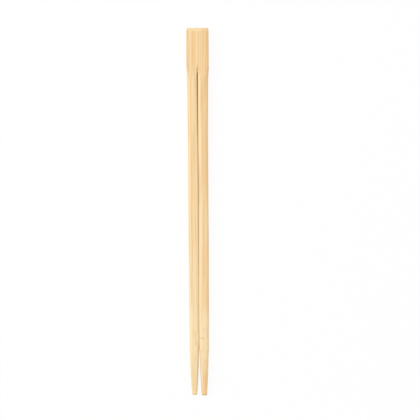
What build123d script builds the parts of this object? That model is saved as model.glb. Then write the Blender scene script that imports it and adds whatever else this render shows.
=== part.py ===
from build123d import *
from math import sqrt
import os

# A pair of disposable bamboo chopsticks, still joined at the head.
# The pair is one piece of bamboo. A flat strip is milled from both faces into two
# sticks with round corners, sawn apart up to the head, and shaped to two blunt tips.
# The strip lies on its back, with Z = 0 under the head. Y runs along it: the head is
# at +Y and the tips are at -Y. Every distance along it starts at the head's end.
# All sizes are in millimetres.

# The strip, as it still shows at the joined head
overall_length = 210.0
head_width = 12.8
head_thickness = 5.0
head_edge_radius = 0.6
end_bevel_length = 1.9
end_bevel_drop = 0.8
end_bevel_inset = 0.25

# The milled sticks at their root, where the cutters first run at full depth. Their
# backs stay level with the head's back, and their fronts are planed a little lower.
# The saw misses the middle of the groove, so its two sides differ in width.
root_distance = 32.0
milled_width = 12.0
milled_thickness = 4.8
corner_width = 1.7
corner_drop = 0.8
left_groove_width = 1.2
right_groove_width = 2.0
groove_depth = 1.0
face_cutter_radius = 50.0
side_cutter_radius = 100.0

# The saw cut, made from the back with a round blade, a little to the left of centre
saw_kerf = 0.6
saw_radius = 80.0
saw_rise = 6.0
slit_start = 25.5
slit_offset = -0.18

# The sticks at the shoulder, where the tips begin
shoulder_width = 11.05
shoulder_thickness = 4.6
shoulder_gap = 0.13

# The tips. The corners are rounded off first, and a short step down follows
rounding_length = 4.8
tip_length = 26.4
shoulder_length = 2.8
tip_root_width = 5.15
tip_root_thickness = 4.3
tip_end_width = 2.95
tip_end_thickness = 2.8
tip_bulge = 0.29
tip_root_corner = 1.6
tip_end_corner = 1.3
tip_edge_radius = 0.35
tip_stagger = 0.35

# One overrun serves every cut
overrun = 2.0

# Places along a stick from root to shoulder. The two sticks spring together as the saw
# frees them, so most of the slit closes early, while the wood narrows late.
station_shares = (0, 0.18, 0.40, 0.66, 1)
closing_shares = (0, 0.66, 0.88, 0.93, 1)
narrowing_shares = (0, 0.12, 0.18, 0.24, 1)

# Places along a tip
tip_shares = (0, 0.25, 0.5, 0.75, 1)

# Worked out from the sizes above
root_y = overall_length / 2 - root_distance
corner_radius = (corner_width**2 + corner_drop**2) / (2 * corner_drop)
groove_widths = {-1: left_groove_width, 1: right_groove_width}
shoulder_distance = overall_length - tip_length
rounding_distance = shoulder_distance - rounding_length
tip_root_distance = shoulder_distance + shoulder_length


def across(distance):
    # The plane across the strip, facing the tips, with its own y axis along Z
    return Plane.XZ.offset(distance - overall_length / 2)


def between(start, end, share):
    return start + (end - start) * share


def head_section(distance, inset, drop):
    with BuildSketch(across(distance)) as section:
        with Locations((0, head_thickness / 2)):
            RectangleRounded(
                head_width - 2 * inset, head_thickness - 2 * drop, head_edge_radius
            )
    return section.sketch


def face_cutter_section(up, crown, planed):
    # The form of both sticks and of the groove between them, as the shapes that the
    # cutter takes off, each closed at a height clear of the strip. It takes off the
    # crowns too where the face is planed.
    clear = crown + up * (head_thickness - milled_thickness + overrun)
    side_x = milled_width / 2
    side_z = crown - up * corner_drop
    outer_x = head_width / 2 + overrun
    steepness = corner_width / (corner_radius - corner_drop)
    outer_z = side_z - up * (outer_x - side_x) * steepness
    ridge = (slit_offset, crown - up * groove_depth)
    with BuildSketch(across(root_distance)) as section:
        for out in (-1, 1):
            groove_x = slit_offset + out * groove_widths[out]
            crown_x = out * (side_x - corner_width)
            with BuildLine():
                TangentArc((groove_x, crown), ridge, tangent=(-out, 0))
                Polyline(ridge, (slit_offset, clear), (groove_x, clear), (groove_x, crown))
            make_face()
            with BuildLine():
                TangentArc((crown_x, crown), (out * side_x, side_z), tangent=(out, 0))
                Polyline(
                    (out * side_x, side_z),
                    (out * outer_x, outer_z),
                    (out * outer_x, clear),
                    (crown_x, clear),
                    (crown_x, crown),
                )
            make_face()
            if planed:
                with BuildLine():
                    Polyline(
                        (groove_x, crown),
                        (crown_x, crown),
                        (crown_x, clear),
                        (groove_x, clear),
                        close=True,
                    )
                make_face()
    return section.sketch


def stick_section(distance, level, wall, side, thickness, wall_corner, side_corner):
    # One stick's outline about its mid-height level, from its wall on the slit to its
    # outer side. Each corner is an arc off the flat crown, given by how far it reaches
    # and how far it drops.
    out = 1 if side > wall else -1
    wall_reach, wall_drop = wall_corner
    side_reach, side_drop = side_corner
    crown_start = wall + out * wall_reach
    crown_end = side - out * side_reach
    with BuildSketch(across(distance)) as section:
        with BuildLine():
            for up in (-1, 1):
                crown = level + up * thickness / 2
                wall_end = (wall, crown - up * wall_drop)
                side_end = (side, crown - up * side_drop)
                TangentArc((crown_start, crown), wall_end, tangent=(-out, 0))
                Line((crown_start, crown), (crown_end, crown))
                TangentArc((crown_end, crown), side_end, tangent=(out, 0))
            wall_height = thickness / 2 - wall_drop
            side_height = thickness / 2 - side_drop
            Line((wall, level - wall_height), (wall, level + wall_height))
            Line((side, level - side_height), (side, level + side_height))
        make_face()
    return section.sketch


def milled_section(out, place_share, closed_share, narrowed_share):
    # A section of one stick between the root and the place where its corners change
    gap = between(saw_kerf, shoulder_gap, closed_share)
    wood = between(milled_width - saw_kerf, shoulder_width - shoulder_gap, narrowed_share)
    distance = between(root_distance, rounding_distance, place_share)
    thickness = between(milled_thickness, shoulder_thickness, place_share)
    groove_width = groove_widths[out]
    groove_radius = (groove_width**2 + groove_depth**2) / (2 * groove_depth)
    reach = groove_width - saw_kerf / 2
    wall_corner = (reach, groove_radius - sqrt(groove_radius**2 - reach**2))
    wall = slit_offset + out * gap / 2
    side = out * (wood + gap) / 2
    side_corner = (corner_width, corner_drop)
    return stick_section(distance, thickness / 2, wall, side, thickness, wall_corner, side_corner)


def shoulder_section(out):
    # A section of one stick at the shoulder, still full size, with its corners rounded off
    wall = slit_offset + out * shoulder_gap / 2
    side = out * shoulder_width / 2
    level = shoulder_thickness / 2
    corner = (tip_root_corner, tip_root_corner)
    return stick_section(shoulder_distance, level, wall, side, shoulder_thickness, corner, corner)


def tip_section(out, tip_end_distance, share):
    # A section of one tip, centred on the middle of its stick at the shoulder. The tip
    # swells a little on its way, like a bullet, and its corners close up to a round.
    swell = 4 * tip_bulge * share * (1 - share)
    distance = between(tip_root_distance, tip_end_distance, share)
    width = between(tip_root_width, tip_end_width, share) + swell
    thickness = between(tip_root_thickness, tip_end_thickness, share) + swell
    corner = between(tip_root_corner, tip_end_corner, share)
    middle = slit_offset / 2 + out * (shoulder_width + shoulder_gap) / 4
    wall = middle - out * width / 2
    side = middle + out * width / 2
    level = shoulder_thickness / 2
    round_corner = (corner, corner)
    return stick_section(distance, level, wall, side, thickness, round_corner, round_corner)


def make_stick(out, tip_end_distance):
    # One stick from root to tip, on the left of the slit (-1) or on its right (1)
    places = zip(station_shares, closing_shares, narrowing_shares)
    with BuildPart() as stick:
        loft([milled_section(out, *shares) for shares in places])
        loft([milled_section(out, 1, 1, 1), shoulder_section(out)])
        loft([shoulder_section(out), tip_section(out, tip_end_distance, 0)])
        loft([tip_section(out, tip_end_distance, share) for share in tip_shares])
        end_face = stick.faces().filter_by(Axis.Y).sort_by(Axis.Y)[0]
        fillet(end_face.edges(), radius=tip_edge_radius)
    return stick.part


left_stick = make_stick(-1, overall_length - tip_stagger)
right_stick = make_stick(1, overall_length)

with BuildPart() as chopstick_pair:
    # The strip above the root, with a bevel round its end
    extrude(head_section(end_bevel_length, 0, 0), amount=root_distance - end_bevel_length)
    loft([head_section(0, end_bevel_inset, end_bevel_drop), head_section(end_bevel_length, 0, 0)])

    # The side cutters narrow the strip along a long arc that ends at the root
    with BuildSketch() as side_cutters:
        for out in (-1, 1):
            with Locations((out * (milled_width / 2 + side_cutter_radius), root_y)):
                Circle(side_cutter_radius)
    extrude(amount=head_thickness, mode=Mode.SUBTRACT)

    # The face cutters run out into the head's two faces. Only the front is planed.
    for up, crown, planed in ((-1, 0, False), (1, milled_thickness, True)):
        cutter_axis = Axis((0, root_y, crown + up * face_cutter_radius), (up, 0, 0))
        form = face_cutter_section(up, crown, planed)
        revolve(form, cutter_axis, revolution_arc=90, mode=Mode.SUBTRACT)

    # The blade rises above the front face, so its rim leaves a slit that reaches
    # further into the head at the back
    blade_z = head_thickness + saw_rise - saw_radius
    blade_reach = sqrt(saw_radius**2 - (saw_radius - saw_rise) ** 2)
    blade_y = overall_length / 2 - slit_start - blade_reach
    with BuildSketch(Plane.YZ.offset(slit_offset)) as saw_path:
        with Locations((blade_y, blade_z)):
            Circle(saw_radius)
        with Locations((blade_y, blade_z + saw_radius)):
            Rectangle(overall_length, saw_radius, align=(Align.MAX, Align.MAX))
    extrude(amount=saw_kerf / 2, both=True, mode=Mode.SUBTRACT)

    add(left_stick)
    add(right_stick)

chopstick_pair.part.label = "chopstick_pair"
os.makedirs("parts", exist_ok=True)
export_step(chopstick_pair.part, "parts/chopstick_pair.step")
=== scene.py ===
import math

import bmesh
import bpy
import numpy as np
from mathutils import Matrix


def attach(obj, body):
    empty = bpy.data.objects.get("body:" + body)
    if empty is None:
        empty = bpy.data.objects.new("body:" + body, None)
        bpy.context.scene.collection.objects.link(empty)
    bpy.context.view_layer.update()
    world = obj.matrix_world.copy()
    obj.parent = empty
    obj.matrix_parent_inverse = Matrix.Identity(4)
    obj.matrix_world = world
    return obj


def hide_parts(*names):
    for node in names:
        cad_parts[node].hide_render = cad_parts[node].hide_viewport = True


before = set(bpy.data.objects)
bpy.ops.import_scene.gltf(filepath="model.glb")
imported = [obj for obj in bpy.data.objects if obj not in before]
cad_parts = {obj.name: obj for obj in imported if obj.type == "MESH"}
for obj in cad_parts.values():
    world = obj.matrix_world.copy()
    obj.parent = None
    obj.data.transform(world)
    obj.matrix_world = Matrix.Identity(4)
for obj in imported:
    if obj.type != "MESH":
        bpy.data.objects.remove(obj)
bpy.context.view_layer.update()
millimetre = 0.001

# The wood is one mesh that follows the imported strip: millimetres here, metres in the scene.
# Distances run from the head's end towards the tips, as in the CAD source.
strip = {
    "length": 210.0, "width": 12.8, "thickness": 5.0, "edgeRadius": 0.6,
    "bevelLength": 1.9, "bevelDrop": 0.8, "bevelInset": 0.25, "endRound": 0.16,
    "root": 32.0, "milledWidth": 12.0, "milledThickness": 4.8,
    "cornerWidth": 1.7, "cornerDrop": 0.8,
    "grooveLeft": 1.2, "grooveRight": 2.0, "grooveDepth": 1.0,
    "faceCutter": 50.0, "sideCutter": 100.0,
    "kerf": 0.6, "sawRadius": 80.0, "sawRise": 6.0, "slitStart": 26.4, "slitX": -0.18,
    "rounding": 178.8, "shoulder": 183.6, "shoulderWidth": 11.05, "shoulderThickness": 4.6,
    "shoulderGap": 0.13, "shoulderLength": 2.8, "tipRootWidth": 5.15, "tipRootThickness": 4.3,
    "tipEndWidth": 2.95, "tipEndThickness": 2.8, "tipBulge": 0.29,
    "tipRootCorner": 1.6, "tipEndCorner": 1.3, "tipEdge": 0.35, "stagger": 0.35,
    # how the sticks close up and narrow from the root to where their corners change
    "places": (0, 0.18, 0.40, 0.66, 1), "closing": (0, 0.66, 0.88, 0.93, 1),
    "narrowing": (0, 0.12, 0.18, 0.24, 1), "rootSlope": 1.25,
    # the saw cut strays to the right between two places
    "slitDrift": 0.2, "driftFrom": 40.0, "driftTo": 150.0,
    # edges between cuts are just broken
    "softening": 0.03,
    # the points on the head's edge slide over to the sticks' corner from here on
    "slideFrom": 19.0, "slideLength": 9.0,
    # steps round an outline, and across the slit where its opening is looked for
    "steps": {"groove": 14, "crown": 8, "corner": 14, "side": 5, "wall": 5, "roof": 3},
    "openingSteps": 60, "rimFrom": 14.0, "rimTo": 28.0, "rimHalvings": 48,
    # where outlines stand along the wood, as places, as spacings or as how many
    "bevelRows": (0, 0.02, 0.05, 0.1, 0.16, 0.4, 0.8, 1.2, 1.6, 1.84, 1.9, 1.96, 2.4),
    "headFrom": 3, "headTo": 14, "headRows": 12, "runOutFrom": 14.5, "runOutSpacing": 0.2,
    "stickFrom": 36, "rootSpacing": 0.5, "stickRows": 110, "shoulderRows": 10, "tipRows": 44,
    "tipEndRows": 8,
    # in metres, and in degrees
    "weld": 2e-7, "sliver": 1e-8, "sharpAngle": 32,
}
steps = strip["steps"]
cornerRadius = (strip["cornerWidth"] ** 2 + strip["cornerDrop"] ** 2) / (2 * strip["cornerDrop"])
grooveWidths = {-1: strip["grooveLeft"], 1: strip["grooveRight"]}
grooveRadii = {side: (width ** 2 + strip["grooveDepth"] ** 2) / (2 * strip["grooveDepth"])
               for side, width in grooveWidths.items()}


def between(start, end, share):
    return start + (end - start) * share


def softMin(a, b):
    # the lower of two surfaces, with the edge between them just broken
    k = strip["softening"]
    h = np.maximum(k - np.abs(a - b), 0) / k
    return np.minimum(a, b) - h * h * k / 4


def formDrop(x):
    # how far the cutters' form lies below the crowns at x
    right = x > strip["slitX"]
    grooveWidth = np.where(right, grooveWidths[1], grooveWidths[-1])
    g = np.clip(grooveWidth - np.abs(x - strip["slitX"]), 0, None)
    radius = np.where(right, grooveRadii[1], grooveRadii[-1])
    o = np.clip(np.abs(x) - (strip["milledWidth"] / 2 - strip["cornerWidth"]), 0, None)
    groove = radius - np.sqrt(np.maximum(radius ** 2 - g * g, 0))
    arc = np.minimum(o, strip["cornerWidth"])
    corner = cornerRadius - np.sqrt(cornerRadius ** 2 - arc * arc)
    steepness = strip["cornerWidth"] / (cornerRadius - strip["cornerDrop"])
    return groove + corner + np.maximum(o - strip["cornerWidth"], 0) * steepness


def endInset(d, inset):
    # the bevel round the head's end, and the broken edge of the end itself
    bevel = inset * max(0.0, 1 - d / strip["bevelLength"])
    r = strip["endRound"]
    worn = r - math.sqrt(max(r * r - max(r - d, 0.0) ** 2, 0.0))
    return bevel + worn


def headFace(x, d, up):
    # one face of the head, cut back by the form cutter as it runs out
    inset, drop = endInset(d, strip["bevelInset"]), endInset(d, strip["bevelDrop"])
    r = strip["edgeRadius"]
    e = np.clip(np.abs(x) - (strip["width"] / 2 - inset - r), 0, r)
    face = strip["thickness"] - drop - r + np.sqrt(r * r - e * e)
    s = strip["root"] - d
    cutter = np.sqrt((strip["faceCutter"] + formDrop(x)) ** 2 - s * s)
    if up > 0:
        return softMin(face, strip["milledThickness"] + strip["faceCutter"] - cutter)
    return strip["thickness"] - softMin(face, strip["thickness"] + strip["faceCutter"] - cutter)


def headSide(d):
    # the head's side, cut back by the side cutter
    s = strip["root"] - d
    r = strip["sideCutter"]
    cut = strip["milledWidth"] / 2 + r - math.sqrt(r * r - s * s)
    return min(strip["width"] / 2 - endInset(d, strip["bevelInset"]), cut)


def rimHeight(d):
    # the saw blade's rim in the head
    r = strip["sawRadius"]
    bladeZ = strip["thickness"] + strip["sawRise"] - r
    reach = math.sqrt(r * r - (r - strip["sawRise"]) ** 2)
    run = strip["slitStart"] + reach - d
    return bladeZ + math.sqrt(max(r * r - run * run, 0))


def slitOpening(d, out):
    # how far the slit opens to one side where the rim comes through the front groove
    half = strip["kerf"] / 2
    rim = rimHeight(d)
    x = np.linspace(0, half, strip["openingSteps"] + 1)
    top = headFace(strip["slitX"] + out * x, d, 1)
    if rim <= top[0]:
        return 0.0
    if rim >= top[-1]:
        return half
    return float(np.interp(rim, top, x))


def headHalf(d, out):
    # one half of the head's outline at d, from the slit's top over the side to its bottom
    half = strip["kerf"] / 2
    opening = slitOpening(d, out)
    crownEnd = strip["milledWidth"] / 2 - strip["cornerWidth"]
    side = headSide(d)
    width = grooveWidths[out]
    turn = math.asin((width - half) / grooveRadii[out])
    angles = np.linspace(turn, 0, steps["groove"] + 1)
    reach = grooveRadii[out] * np.sin(angles) / (width - half)

    def grooveX(inner):
        return strip["slitX"] + out * (width - reach * (width - inner))

    crown = np.linspace(grooveX(half)[-1], out * crownEnd, steps["crown"] + 1)[1:]
    # the corner's points stand at the head's own edge, and slide over to the cut corner
    f = np.linspace(0, 1, steps["corner"] + 1)[1:]
    fullTurn = math.asin(strip["cornerWidth"] / cornerRadius)
    arc = np.sin(f * fullTurn) * cornerRadius / strip["cornerWidth"]
    flat = max(side - crownEnd - strip["edgeRadius"], 0) / (side - crownEnd)
    edge = np.where(f < 0.5, f / 0.5 * flat, flat + (1 - flat) * np.sin((f - 0.5) * math.pi))
    slide = np.clip((d - strip["slideFrom"]) / strip["slideLength"], 0, 1)
    slide = slide * slide * (3 - 2 * slide)
    corner = out * (crownEnd + between(edge, arc, slide) * (side - crownEnd))
    topX = np.concatenate([grooveX(opening), crown, corner])
    lowX = np.concatenate([grooveX(half), crown, corner])[::-1]
    topZ, lowZ = headFace(topX, d, 1), headFace(lowX, d, -1)
    sideZ = np.linspace(topZ[-1], lowZ[0], steps["side"] + 1)[1:-1]
    frontZ = headFace(np.array([lowX[-1]]), d, 1)[0]
    roofZ = min(max(rimHeight(d), lowZ[-1]), frontZ)
    wallZ = np.linspace(lowZ[-1], roofZ, steps["wall"] + 1)[1:]
    roofX = strip["slitX"] + out * np.linspace(half, opening, steps["roof"] + 1)[1:]
    sideX, wallX = np.full(len(sideZ), topX[-1]), np.full(len(wallZ), lowX[-1])
    x = np.concatenate([topX, sideX, lowX, wallX, roofX])
    z = np.concatenate([topZ, sideZ, lowZ, wallZ, np.full(len(roofX), roofZ)])
    return x, z


def arcPoints(reach, drop, count):
    # a corner arc off a flat crown, as how far it has reached and dropped
    radius = (reach * reach + drop * drop) / (2 * drop)
    turn = math.atan2(reach, radius - drop)
    a = np.linspace(0, turn, count + 1)
    return radius * np.sin(a), radius * (1 - np.cos(a))


def stickOutline(out, level, wall, side, thickness, wallCorner, sideCorner):
    # one stick's outline about its mid-height level, with its points in the head's order
    wallReach, wallDrop = arcPoints(*wallCorner, steps["groove"])
    sideReach, sideDrop = arcPoints(*sideCorner, steps["corner"])
    crownIn, crownOut = wall + out * wallCorner[0], side - out * sideCorner[0]
    groove = (crownIn - out * wallReach)[::-1]
    crown = np.linspace(crownIn, crownOut, steps["crown"] + 1)[1:]
    corner = (crownOut + out * sideReach)[1:]
    topX = np.concatenate([groove, crown, corner])
    fall = np.concatenate([wallDrop[::-1], 0 * crown, sideDrop[1:]])
    topZ, lowZ = level + thickness / 2 - fall, (level - thickness / 2 + fall)[::-1]
    lowX = topX[::-1]
    sideZ = np.linspace(topZ[-1], lowZ[0], steps["side"] + 1)[1:-1]
    wallZ = np.linspace(lowZ[-1], topZ[0], steps["wall"] + 1)[1:]
    rest = np.full(steps["wall"] + steps["roof"], wall)
    x = np.concatenate([topX, np.full(len(sideZ), side), lowX, rest])
    z = np.concatenate([topZ, sideZ, lowZ, wallZ, np.full(steps["roof"], topZ[0])])
    return x, z


def smoothShare(share, shares):
    # a smooth curve through the stations' shares
    t, v = np.array(strip["places"], float), np.array(shares, float)
    slopes = np.gradient(v, t)
    slopes[0] = (v[1] - v[0]) / (t[1] - t[0]) * strip["rootSlope"]
    slopes[-1] = (v[-1] - v[-2]) / (t[-1] - t[-2])
    k = min(np.searchsorted(t, share, side="right") - 1, len(t) - 2)
    w = t[k + 1] - t[k]
    u = (share - t[k]) / w
    return (v[k] * (1 + 2 * u) * (1 - u) ** 2 + slopes[k] * w * u * (1 - u) ** 2
            + v[k + 1] * u * u * (3 - 2 * u) + slopes[k + 1] * w * u * u * (u - 1))


def slitDrift(d):
    # how far the saw cut has strayed to the right
    share = (d - strip["driftFrom"]) / (strip["driftTo"] - strip["driftFrom"])
    return strip["slitDrift"] * math.sin(math.pi * min(max(share, 0), 1)) ** 2


def milledOutline(d, out):
    # one milled stick, between the root and the place where its corners change
    share = (d - strip["root"]) / (strip["rounding"] - strip["root"])
    closed, narrowed = smoothShare(share, strip["closing"]), smoothShare(share, strip["narrowing"])
    gap = between(strip["kerf"], strip["shoulderGap"], closed)
    woodAtRoot = strip["milledWidth"] - strip["kerf"]
    wood = between(woodAtRoot, strip["shoulderWidth"] - strip["shoulderGap"], narrowed)
    thickness = between(strip["milledThickness"], strip["shoulderThickness"], share)
    reach = grooveWidths[out] - strip["kerf"] / 2
    wallCorner = (reach, grooveRadii[out] - math.sqrt(grooveRadii[out] ** 2 - reach ** 2))
    sideCorner = (strip["cornerWidth"], strip["cornerDrop"])
    wall, side = strip["slitX"] + slitDrift(d) + out * gap / 2, out * (wood + gap) / 2
    return stickOutline(out, thickness / 2, wall, side, thickness, wallCorner, sideCorner)


def shoulderOutline(out):
    # full size still, with the corners rounded off
    corner = (strip["tipRootCorner"], strip["tipRootCorner"])
    level, thickness = strip["shoulderThickness"] / 2, strip["shoulderThickness"]
    wall = strip["slitX"] + out * strip["shoulderGap"] / 2
    side = out * strip["shoulderWidth"] / 2
    return stickOutline(out, level, wall, side, thickness, corner, corner)


def tipOutline(share, out, inset):
    # one tip, which swells a little on its way while its corners close up to a round
    swell = 4 * strip["tipBulge"] * share * (1 - share)
    width = between(strip["tipRootWidth"], strip["tipEndWidth"], share) + swell - 2 * inset
    thickness = (between(strip["tipRootThickness"], strip["tipEndThickness"], share)
                 + swell - 2 * inset)
    reach = between(strip["tipRootCorner"], strip["tipEndCorner"], share) - inset
    middle = strip["slitX"] / 2 + out * (strip["shoulderWidth"] + strip["shoulderGap"]) / 4
    wall, side = middle - out * width / 2, middle + out * width / 2
    corner, level = (reach, reach), strip["shoulderThickness"] / 2
    return stickOutline(out, level, wall, side, thickness, corner, corner)


def rimReaches(test):
    # the distance at which the saw's rim first passes the test
    low, high = strip["rimFrom"], strip["rimTo"]
    for _ in range(strip["rimHalvings"]):
        middle = (low + high) / 2
        low, high = (low, middle) if test(middle) else (middle, high)
    return high


def halfRows(out):
    # every outline of one half of the pair, as (distance, x, z)
    slit = np.array([strip["slitX"]])
    starts = [rimReaches(lambda d: rimHeight(d) >= 0),
              rimReaches(lambda d: rimHeight(d) >= headFace(slit, d, 1)[0]),
              rimReaches(lambda d: slitOpening(d, out) >= strip["kerf"] / 2)]
    plain = np.linspace(strip["headFrom"], strip["headTo"], strip["headRows"])
    runOut = np.arange(strip["runOutFrom"], strip["root"], strip["runOutSpacing"])
    rows = [(d, *headHalf(d, out)) for d in sorted([*strip["bevelRows"], *plain, *runOut, *starts])]
    nearRoot = np.arange(strip["root"], strip["stickFrom"], strip["rootSpacing"])
    stick = np.linspace(strip["stickFrom"], strip["rounding"], strip["stickRows"])
    rows += [(d, *milledOutline(d, out)) for d in np.concatenate([nearRoot, stick])]

    tipStart = strip["shoulder"] + strip["shoulderLength"]
    tipEnd = strip["length"] - (strip["stagger"] if out < 0 else 0)
    for start, end, outline in ((strip["rounding"], strip["shoulder"], shoulderOutline(out)),
                                (strip["shoulder"], tipStart, tipOutline(0, out, 0))):
        last = rows[-1]
        for t in np.linspace(0, 1, strip["shoulderRows"] + 1)[1:]:
            rows.append((between(start, end, t), between(last[1], outline[0], t),
                         between(last[2], outline[1], t)))
    rows.pop()  # the tip's own first outline takes its place
    r = strip["tipEdge"]
    straight = np.linspace(tipStart, tipEnd - r, strip["tipRows"])
    turns = np.linspace(0, math.pi / 2, strip["tipEndRows"] + 1)[1:]
    for d in np.concatenate([straight, tipEnd - r + r * np.sin(turns)]):
        worn = r - math.sqrt(max(r * r - max(d - (tipEnd - r), 0) ** 2, 0))
        rows.append((d, *tipOutline((d - tipStart) / (tipEnd - tipStart), out, min(worn, r))))
    return rows


def addHalf(points, faces, out):
    rows = halfRows(out)
    start, width = len(points), len(rows[0][1])
    for d, x, z in rows:
        points.extend((a, strip["length"] / 2 - d, b) for a, b in zip(x, z))
    for i in range(len(rows) - 1):
        for j in range(width - 1):
            a = start + i * width + j
            faces.append((a, a + 1, a + 1 + width, a + width))
    # the head's end and the tip's end are closed as fans
    headMiddle = (0.0, strip["thickness"] / 2)
    tipMiddle = (float(np.mean(rows[-1][1])), strip["shoulderThickness"] / 2)
    for row, middle in ((0, headMiddle), (len(rows) - 1, tipMiddle)):
        centre = len(points)
        points.append((middle[0], strip["length"] / 2 - rows[row][0], middle[1]))
        first = start + row * width
        faces.extend((first + j, first + j + 1, centre) for j in range(width - 1))


def makeWood():
    points, faces = [], []
    for out in (-1, 1):
        addHalf(points, faces, out)
    mesh = bpy.data.meshes.new("bamboo_strip")
    mesh.from_pydata([tuple(c * millimetre for c in p) for p in points], [], faces)
    work = bmesh.new()
    work.from_mesh(mesh)
    bmesh.ops.remove_doubles(work, verts=work.verts, dist=strip["weld"])
    bmesh.ops.dissolve_degenerate(work, edges=work.edges, dist=strip["sliver"])
    bmesh.ops.recalc_face_normals(work, faces=work.faces)
    openEdges = sum(1 for e in work.edges if len(e.link_faces) != 2)
    print("wood", len(work.verts), "points", len(work.faces), "faces", openEdges, "open edges")
    work.to_mesh(mesh)
    work.free()
    mesh.shade_smooth()
    mesh.set_sharp_from_angle(angle=math.radians(strip["sharpAngle"]))
    piece = bpy.data.objects.new("bamboo_strip", mesh)
    bpy.context.scene.collection.objects.link(piece)
    return piece


class Wire:
    # a node's output that can be used in sums
    def __init__(self, tree, socket):
        self.tree, self.socket = tree, socket

    def make(self, kind, settings, values, output=0):
        node = self.tree.nodes.new(kind)
        for name, value in settings.items():
            setattr(node, name, value)
        for key, value in values.items():
            if isinstance(value, Wire):
                self.tree.links.new(value.socket, node.inputs[key])
            else:
                node.inputs[key].default_value = value
        return Wire(self.tree, node.outputs[output])

    def math(self, operation, first, second=0.0, clamp=False):
        settings = {"operation": operation, "use_clamp": clamp}
        return self.make("ShaderNodeMath", settings, {0: first, 1: second})

    def __add__(self, other):
        return self.math("ADD", self, other)

    def __radd__(self, other):
        return self.math("ADD", other, self)

    def __sub__(self, other):
        return self.math("SUBTRACT", self, other)

    def __rsub__(self, other):
        return self.math("SUBTRACT", other, self)

    def __mul__(self, other):
        return self.math("MULTIPLY", self, other)

    def __rmul__(self, other):
        return self.math("MULTIPLY", other, self)

    def __truediv__(self, other):
        return self.math("DIVIDE", self, other)

    def __abs__(self):
        return self.math("ABSOLUTE", self)

    def ramp(self, low, high):
        # 0 at low and 1 at high, smooth between
        values = {"Value": self, "From Min": min(low, high), "From Max": max(low, high)}
        rise = self.make("ShaderNodeMapRange", {"interpolation_type": "SMOOTHSTEP"}, values)
        return 1 - rise if low > high else rise

    def bump(self, centre, width):
        # 1 at the centre, falling to 0 within the width
        return abs(self - centre).ramp(width, 0.0)

    def spot(self, other, centre, half, otherCentre, otherHalf, rim=(1.0, 0.3)):
        # an oval about a place in two coordinates, 1 in its middle and soft at its rim
        a, b = (self - centre) / half, (other - otherCentre) / otherHalf
        return (a * a + b * b).ramp(*rim)

    def vector(self, x, y, z):
        return self.make("ShaderNodeCombineXYZ", {}, {0: x, 1: y, 2: z})

    def parts(self):
        # a vector's three numbers
        first = self.make("ShaderNodeSeparateXYZ", {}, {0: self})
        return [Wire(self.tree, socket) for socket in first.socket.node.outputs]

    def noise(self, vector, detail, rough):
        values = {"Vector": vector, "Scale": 1.0, "Detail": detail, "Roughness": rough}
        return self.make("ShaderNodeTexNoise", {"noise_dimensions": "3D"}, values)

    def mix(self, factor, first, second):
        # colours go in at a mix node's sockets 6 and 7, and come out at 2
        settings = {"data_type": "RGBA", "blend_type": "MIX"}
        return self.make("ShaderNodeMix", settings, {0: factor, 6: first, 7: second}, 2)


def colour(r, g, b):
    # a screen colour, 0 to 255, as the linear colour that shaders take
    def linear(v):
        v = v / 255
        return v / 12.92 if v <= 0.04045 else ((v + 0.055) / 1.055) ** 2.4
    return (linear(r), linear(g), linear(b), 1.0)


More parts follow.
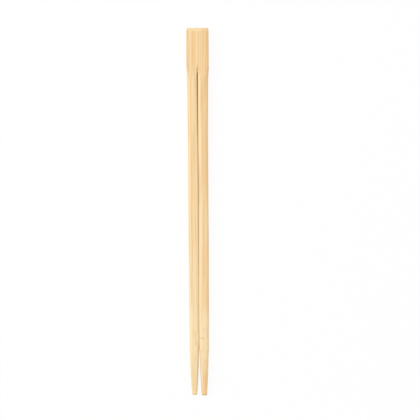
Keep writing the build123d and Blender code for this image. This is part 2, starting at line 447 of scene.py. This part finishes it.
look = {
    "pale": (248, 223, 179), "mid": (242, 208, 156), "warm": (235, 193, 138),
    "yellow": (239, 215, 158), "orange": (244, 196, 138), "bundle": (212, 166, 110),
    "endGrain": (232, 198, 148), "sawn": (206, 162, 108), "markAndShade": (190, 143, 92),
    # noises drawn out along the wood: size across and along in mm, detail, roughness
    "fibres": {"sway": (9, 55, 1.0, 0.5), "fine": (0.17, 24, 3.0, 0.6),
               "hair": (0.06, 5, 2.0, 0.5), "strand": (0.5, 60, 2.0, 0.6),
               "broad": (1.5, 70, 2.0, 0.55), "drift": (11, 42, 1.0, 0.5),
               "hue": (1.9, 34, 2.0, 0.5), "knotty": (0.55, 2.2, 2.0, 0.6)},
    "swayReach": 1.1, "headSway": 0.25, "hueShift": 7.3, "hueReach": 1.7,
    "bundleSize": (0.82, 46),
    # how much of each noise is in the tone
    "toneShares": {"broad": 0.7, "strand": 1.0, "fine": 0.85, "hair": 0.55, "drift": 0.3,
                   "knotty": 1.3},
    "toneMiddle": 0.5, "toneGain": 2.0, "warmthGain": 0.75,
    # where each thing starts and where it is full, in mm, or as a share for the first three
    "masks": {"endOn": (0.75, 0.97), "sideOn": (0.80, 0.95), "bundle": (0.40, 0.10),
              "inSlit": (0.42, 0.32), "slitAlong": (-60.0, 0.0),
              "front": (2.4, 2.6), "back": (2.6, 2.4), "ownFront": (4.94, 4.985),
              "headAlong": (72.0, 75.0), "bevelHighlightAlong": (102.9, 103.4),
              "nodeBelow": (-88.0, -76.0), "nodeAbove": (-58.0, -68.0),
              "leftStick": (0.5, -1.5), "rightEdge": (2.0, 3.4), "rightTip": (0.6, 1.6),
              "lowerPart": (-10.0, -75.0), "tipsAlong": (-84.0, -98.0),
              "groove": (0.9, 0.3), "grooveLightAlong": (-10.0, -50.0), "grooveLightEnd": (-80.0, -77.0),
              "tipEndShade": (-103.6, -104.8)},
    # how strongly each thing shows
    "shares": {"leftStick": 0.12, "rightEdge": 0.1, "lowerPart": 0.2, "head": 0.04,
               "bevel": 0.25, "rightTip": 0.8, "leftTip": 0.2, "groove": 0.8, "tipEndShade": 0.35,
               "endOn": 0.6, "bundle": 0.42, "bundleOnEnd": 0.12, "sawn": 0.85,
               "markAndShade": 0.85, "hairInMark": 1.5},
    # streaks on the head's own faces, and along the milled sticks: place and half width
    # in mm, tone, warmth, and how far down each one runs
    "headStreaks": ((-5.4, 0.45, -0.4, -0.4, 60.0), (-4.9, 0.45, -0.15, -0.8, 60.0),
                    (-4.0, 0.6, 0.6, -0.1, 60.0), (-3.1, 0.4, -0.45, 0.7, 84.0),
                    (-2.45, 0.6, 0.15, 1.6, 84.0), (-1.7, 0.35, -0.3, 0.2, 60.0),
                    (-0.6, 0.75, 0.5, -0.5, 60.0), (0.6, 0.4, -0.6, -0.2, 78.0),
                    (1.2, 0.35, 0.3, 0.2, 60.0), (2.35, 0.5, 0.7, 0.6, 60.0),
                    (2.95, 0.35, -0.6, 0.0, 60.0), (4.0, 0.6, 0.25, 0.2, 60.0),
                    (5.5, 0.9, -0.6, -0.1, 60.0)),
    "stickStreaks": ((-4.9, 0.6, 0.1, -0.5, -120.0), (-4.0, 0.7, -0.1, 0.45, -50.0),
                     (-2.9, 0.6, 0.2, -0.3, -120.0), (1.15, 1.0, 0.5, -0.2, -120.0),
                     (2.6, 0.5, -0.1, 0.0, -40.0), (3.6, 1.3, -0.15, 0.2, -35.0),
                     (5.0, 0.8, -0.15, 0.0, -60.0)),
    "streakFade": 6.0,
    # broad paler and darker places: x and half width, y and half length, tone
    "patches": ((3.0, 3.0, -4.0, 24.0, 0.3), (3.4, 3.6, -70.0, 17.0, 0.4),
                (-3.6, 3.4, -73.0, 22.0, 0.25)),
    # short dark marks where a node and single bundles are cut, a hairline crack ahead of the slit,
    # painted shade where the groove starts, and long faint darker strips along the head's edges:
    # place and half width across, start and end along, strength
    "marksAndShade": ((-2.2, 0.19, -67.6, -73.8, 0.6), (-1.85, 0.2, -72.4, -76.6, 0.85),
              (-3.1, 0.17, -65.0, -72.0, 0.35), (-2.3, 0.17, -81.5, -87.0, 0.5),
              (1.75, 1.7, -71.9, -72.5, 0.58), (3.0, 2.6, -66.1, -67.1, 0.15),
              (4.6, 0.7, -64.0, -73.0, 0.15), (2.4, 0.15, -66.4, -70.6, 0.35),
              (3.7, 0.15, -66.2, -71.0, 0.3), (1.1, 0.18, -78.0, -81.2, 0.5),
              (3.1, 0.15, -83.4, -86.0, 0.5), (3.5, 0.15, -84.4, -86.6, 0.4),
              (2.35, 0.18, 61.0, 67.5, 0.5), (-5.3, 0.18, 75.5, 86.0, 0.35),
              (0.95, 0.14, 19.0, 32.0, 0.4), (-3.9, 0.14, -9.0, 3.0, 0.4),
              (3.2, 0.14, -41.0, -28.0, 0.4), (-0.5, 0.11, 81.6, 85.6, 0.7),
              # painted shade: the first mark on this line darkens where the groove starts ahead of
              # the slit
              (-0.49, 0.21, 79.2, 82.8, 0.9), (5.9, 0.7, 50.0, 130.0, 0.12),
              (-5.7, 0.6, 50.0, 130.0, 0.12), (4.2, 0.22, 32.0, 62.0, 0.5),
              (-3.4, 0.2, -12.0, -38.0, 0.25)),
    "reliefShares": {"fine": 0.6, "hair": 0.3, "bundle": -0.5},
    "bumpStrength": 0.5, "bumpDistance": 0.00004, "roughness": 0.46, "specular": 0.35,
}


def makeBamboo():
    material = bpy.data.materials.new("bamboo")
    material.use_nodes = True
    tree = material.node_tree
    shader = tree.nodes["Principled BSDF"]
    w = Wire(tree, None)
    shares = look["shares"]

    def mask(line, name):
        return line.ramp(*look["masks"][name])

    def fibres(name, line, shift=0):
        # one of the noises, about 0
        across, along, detail, rough = look["fibres"][name]
        start = line / across + shift if shift else line / across
        return w.noise(w.vector(start, y / along, z / across), detail, rough) - 0.5

    place = w.make("ShaderNodeTexCoord", {}, {}, "Object")
    inMillimetres = {0: place, "Scale": 1 / millimetre}
    x, y, z = w.make("ShaderNodeVectorMath", {"operation": "SCALE"}, inMillimetres).parts()
    facingX, facingY, _ = w.make("ShaderNodeNewGeometry", {}, {}, "Normal").parts()
    endOn = mask(abs(facingY), "endOn")
    # the saw's own walls, in the slit
    fromSlit = abs(x - strip["slitX"])
    sawn = mask(fromSlit, "inSlit") * mask(y, "slitAlong") * mask(abs(facingX), "sideOn")

    # the fibres wander a little on their way
    sway = fibres("sway", x) * look["swayReach"]
    fx = x + sway
    # bundles: long thin cells, dots on the end grain
    across, along = look["bundleSize"]
    cells = {"Vector": w.vector(fx / across, y / along, z / across), "Scale": 1.0,
             "Randomness": 1.0}
    settings = {"feature": "F1", "voronoi_dimensions": "3D"}
    bundle = mask(w.make("ShaderNodeTexVoronoi", settings, cells), "bundle")
    grain = {name: fibres(name, fx) for name in ("fine", "hair", "strand", "broad", "knotty")}
    grain["drift"] = fibres("drift", x)
    # a node disturbs the fibres near the tips
    grain["knotty"] = grain["knotty"] * (mask(y, "nodeBelow") * mask(y, "nodeAbove"))
    tone = look["toneMiddle"]
    for name, share in look["toneShares"].items():
        tone = tone + grain[name] * share
    warmth = fibres("hue", fx, look["hueShift"]) * look["hueReach"]

    # lengthwise streaks where the photograph has them. The head keeps its own face down
    # to the line where the cutters run out, and the bevel at its end is freshly cut too.
    ownFace = w.math("MAXIMUM", mask(z, "ownFront"), mask(z, "back"))
    inHead = ownFace * mask(y, "headAlong")
    below = 1 - inHead
    for streaks, part, line in ((look["headStreaks"], inHead, x + sway * look["headSway"]),
                                (look["stickStreaks"], below, fx)):
        for centre, width, strength, heat, last in streaks:
            fade = y.ramp(last - look["streakFade"], last + look["streakFade"])
            here = line.bump(centre, width) * part * fade
            tone = tone + here * strength
            warmth = warmth + here * heat
    # the left stick is paler, and the right one's tip more orange
    left = mask(x, "leftStick") * below
    tone = tone + left * shares["leftStick"] - mask(x, "rightEdge") * below * shares["rightEdge"]
    tone = tone + mask(y, "lowerPart") * shares["lowerPart"]
    atTips = mask(y, "tipsAlong")
    warmth = warmth + mask(x, "rightTip") * atTips * shares["rightTip"]
    warmth = warmth - left * atTips * shares["leftTip"]
    # painted highlight: the end bevel and the head's end are laid paler, as they face the lamp; the
    # head's own face is a little darker
    tone = tone - inHead * shares["head"] + mask(y, "bevelHighlightAlong") * shares["bevel"]
    for centre, width, middle, length, strength in look["patches"]:
        tone = tone + fx.spot(y, centre, width, middle, length) * strength

    def lay(body, factor, name):
        # one of the wood's colours over the rest
        return w.mix(factor, body, colour(*look[name]))

    def clamped(first, gain):
        return w.math("MULTIPLY", first, gain, True)

    paler = clamped(tone - look["toneMiddle"], look["toneGain"])
    darker = clamped(look["toneMiddle"] - tone, look["toneGain"])
    body = w.mix(paler, colour(*look["mid"]), colour(*look["pale"]))
    body = lay(body, darker, "warm")
    body = lay(body, clamped(warmth, look["warmthGain"]), "orange")
    body = lay(body, clamped(warmth, -look["warmthGain"]), "yellow")
    # painted light: beside the slit, from just below the middle down to the shoulder, the groove's
    # walls are laid paler to lift their shade
    groove = mask(fromSlit, "groove") * mask(y, "grooveLightAlong") * mask(y, "grooveLightEnd")
    body = lay(body, groove * shares["groove"], "pale")
    front = mask(z, "front")
    # the marks, with painted shade at the groove's start among them
    for centre, width, first, last, strength in look["marksAndShade"]:
        here = x.spot(y, centre, width, (first + last) / 2, abs(first - last) / 2)
        broken = shares["markAndShade"] + grain["hair"] * shares["hairInMark"]
        body = lay(body, here * front * strength * broken, "markAndShade")
    # painted shade: the tips' rounded ends are darker, as they face away from the lamp
    body = lay(body, mask(y, "tipEndShade") * shares["tipEndShade"], "markAndShade")
    body = lay(body, endOn * shares["endOn"], "endGrain")
    body = lay(body, bundle * (shares["bundle"] + endOn * shares["bundleOnEnd"]), "bundle")
    body = lay(body, sawn * shares["sawn"], "sawn")
    tree.links.new(body.socket, shader.inputs["Base Color"])

    relief = look["reliefShares"]
    height = (grain["fine"] * relief["fine"] + grain["hair"] * relief["hair"]
              + bundle * relief["bundle"])
    values = {"Strength": look["bumpStrength"], "Distance": look["bumpDistance"], "Height": height}
    bumped = w.make("ShaderNodeBump", {}, values)
    tree.links.new(bumped.socket, shader.inputs["Normal"])
    shader.inputs["Roughness"].default_value = look["roughness"]
    shader.inputs["Specular IOR Level"].default_value = look["specular"]
    return material


wood = makeWood()
wood.data.materials.append(makeBamboo())
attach(wood, "root")
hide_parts("chopstick_pair")
print("wood dressed")

# The studio: a pale floor, a white sky and one soft lamp from the upper left, in metres
studio = {
    "floorSize": 6.0, "floorDrop": 0.00002, "floorColour": (0.94, 0.94, 0.94),
    # painted shade and light under the wood: its floor colour, its glows for camera rays and their
    # share
    "shadeColour": (0.86, 0.70, 0.52), "paintedSlitShade": (148, 116, 80),
    "paintedClosedSlitLight": (222, 190, 146), "paintedSlitShare": 0.6, "whiteness": 0.92,
    # the floor that shows through the slit: across, at the tips' end and at the head's
    "underAcross": (0.0018, 0.0013), "underTips": (-0.0800, -0.0775),
    "underHead": (0.104, 0.102), "closedAlong": (0.000, -0.045),
    "sky": 0.79, "lampPlace": (-0.95, 0.45, 1.05), "lampSize": 0.9, "lampPower": 8.0,
}


def makeSky():
    world = bpy.data.worlds.new("sky")
    bpy.context.scene.world = world
    world.use_nodes = True
    sky = world.node_tree.nodes["Background"]
    sky.inputs["Color"].default_value = (1, 1, 1, 1)
    sky.inputs["Strength"].default_value = studio["sky"]


def makeFloorPaint():
    paint = bpy.data.materials.new("floor")
    paint.use_nodes = True
    tree = paint.node_tree
    shader = tree.nodes["Principled BSDF"]
    shader.inputs["Roughness"].default_value = 1.0
    shader.inputs["Specular IOR Level"].default_value = 0.0
    # most of the floor's white is its own, so that the wood's shadow stays faint, but not
    # under the wood, where the slit shows the floor in shade
    w = Wire(tree, None)
    x, y, _ = w.make("ShaderNodeTexCoord", {}, {}, "Object").parts()
    under = abs(x).ramp(*studio["underAcross"])
    under = under * y.ramp(*studio["underTips"]) * y.ramp(*studio["underHead"])
    # painted shade: under the wood the floor's own colour is a warm shaded brown
    base = w.mix(under, (*studio["floorColour"], 1), (*studio["shadeColour"], 1))
    tree.links.new(base.socket, shader.inputs["Base Color"])
    # painted shade and light: for camera rays the floor under the wood glows in the slit's shaded
    # brown, and paler where the slit has closed, standing in for light through the wood beside it
    own = w.make("ShaderNodeEmission", {}, {"Color": (1, 1, 1, 1), "Strength": 1.0})
    for share, tint in ((under, "paintedSlitShade"),
                        (under * y.ramp(*studio["closedAlong"]), "paintedClosedSlitLight")):
        values = {"Color": colour(*studio[tint]), "Strength": 1.0}
        glow = w.make("ShaderNodeEmission", {}, values)
        own = w.make("ShaderNodeMixShader", {}, {0: share, 1: own, 2: glow})
    camera = w.make("ShaderNodeLightPath", {}, {}, "Is Camera Ray")
    share = under * (studio["paintedSlitShare"] - studio["whiteness"]) + studio["whiteness"]
    lit = Wire(tree, shader.outputs[0])
    both = w.make("ShaderNodeMixShader", {}, {0: camera * share, 1: lit, 2: own})
    tree.links.new(both.socket, tree.nodes["Material Output"].inputs["Surface"])
    return paint


def makeLamp():
    lamp = bpy.data.lights.new("lamp", "AREA")
    lamp.shape, lamp.size, lamp.energy = "DISK", studio["lampSize"], studio["lampPower"]
    lampObject = bpy.data.objects.new("lamp", lamp)
    lampObject.location = studio["lampPlace"]
    aim = -np.array(studio["lampPlace"])
    tilt = math.acos(-aim[2] / np.linalg.norm(aim))
    turn = math.atan2(aim[1], aim[0]) + math.pi / 2 + math.pi
    lampObject.rotation_euler = (tilt, 0, turn)
    bpy.context.scene.collection.objects.link(lampObject)


def makeStudio():
    makeSky()
    place = (0, 0, -studio["floorDrop"])
    bpy.ops.mesh.primitive_plane_add(size=studio["floorSize"], location=place)
    floor = bpy.context.object
    floor.name = "floor"
    floor.data.materials.append(makeFloorPaint())
    makeLamp()
    bpy.context.scene.view_settings.view_transform = "Standard"


# The camera looks straight down, as in the photograph: pixels of 0.5724 mm on the wood
cameraPlan = {"lens": 100.0, "sensor": 36.0, "pixel": 0.5724, "pixels": 420, "facePlane": 2.5,
              "centre": (198.5, 211.8), "lean": -0.375}


def makeCamera():
    data = bpy.data.cameras.new("camera")
    data.lens, data.sensor_width = cameraPlan["lens"], cameraPlan["sensor"]
    frameWidth = cameraPlan["pixel"] * cameraPlan["pixels"]
    away = frameWidth * cameraPlan["lens"] / cameraPlan["sensor"]
    camera = bpy.data.objects.new("camera", data)
    half = cameraPlan["pixels"] / 2
    right = (half - cameraPlan["centre"][0]) * cameraPlan["pixel"]
    up = (cameraPlan["centre"][1] - half) * cameraPlan["pixel"]
    turn = math.radians(cameraPlan["lean"])
    camera.location = ((right * math.cos(turn) - up * math.sin(turn)) * millimetre,
                       (right * math.sin(turn) + up * math.cos(turn)) * millimetre,
                       (away + cameraPlan["facePlane"]) * millimetre)
    camera.rotation_euler = (0, 0, turn)
    bpy.context.scene.collection.objects.link(camera)
    bpy.context.scene.camera = camera


makeStudio()
makeCamera()
print("studio ready")
